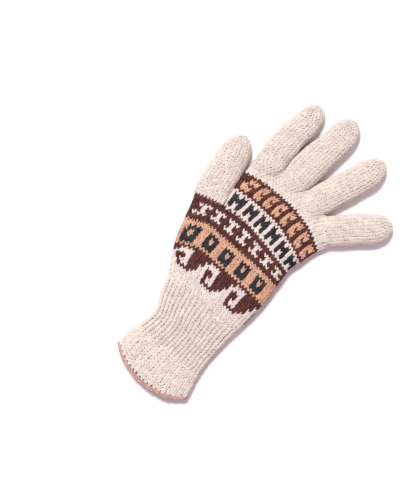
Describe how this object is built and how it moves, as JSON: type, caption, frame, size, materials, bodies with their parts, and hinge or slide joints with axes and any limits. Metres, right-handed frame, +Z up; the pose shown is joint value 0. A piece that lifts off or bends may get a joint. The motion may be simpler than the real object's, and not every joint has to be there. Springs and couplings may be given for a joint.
{
  "type": "wool glove",
  "caption": "Knitted wool glove with a ribbed wrist, a flared cuff, a patterned hand and open finger stalls, lying flat.",
  "frame": {"origin": "middle of the glove's footprint, on the surface that it lies on", "axes": "+Y from the cuff to the fingertips, +X from the thumb to the little finger, +Z up through the back of the hand"},
  "size_m": [0.1584, 0.2868, 0.0205],
  "materials": {
    "cream_wool": "undyed cream wool yarn, hand knitted in stocking stitch and rib, matt with a soft halo",
    "tan_wool": "tan wool yarn, bound off round the cuff's mouth",
    "patterned_wool": "cream wool stranded with bands of dark brown, tan, charcoal and white motifs"
  },
  "bodies": {
    "root": {"cuff_edging": "tan_wool", "cuff": "cream_wool", "wrist_rib": "cream_wool", "hand": "patterned_wool", "thumb": "cream_wool", "index_finger": "cream_wool", "middle_finger": "cream_wool", "ring_finger": "cream_wool", "little_finger": "cream_wool"}
  },
  "joints": []
}
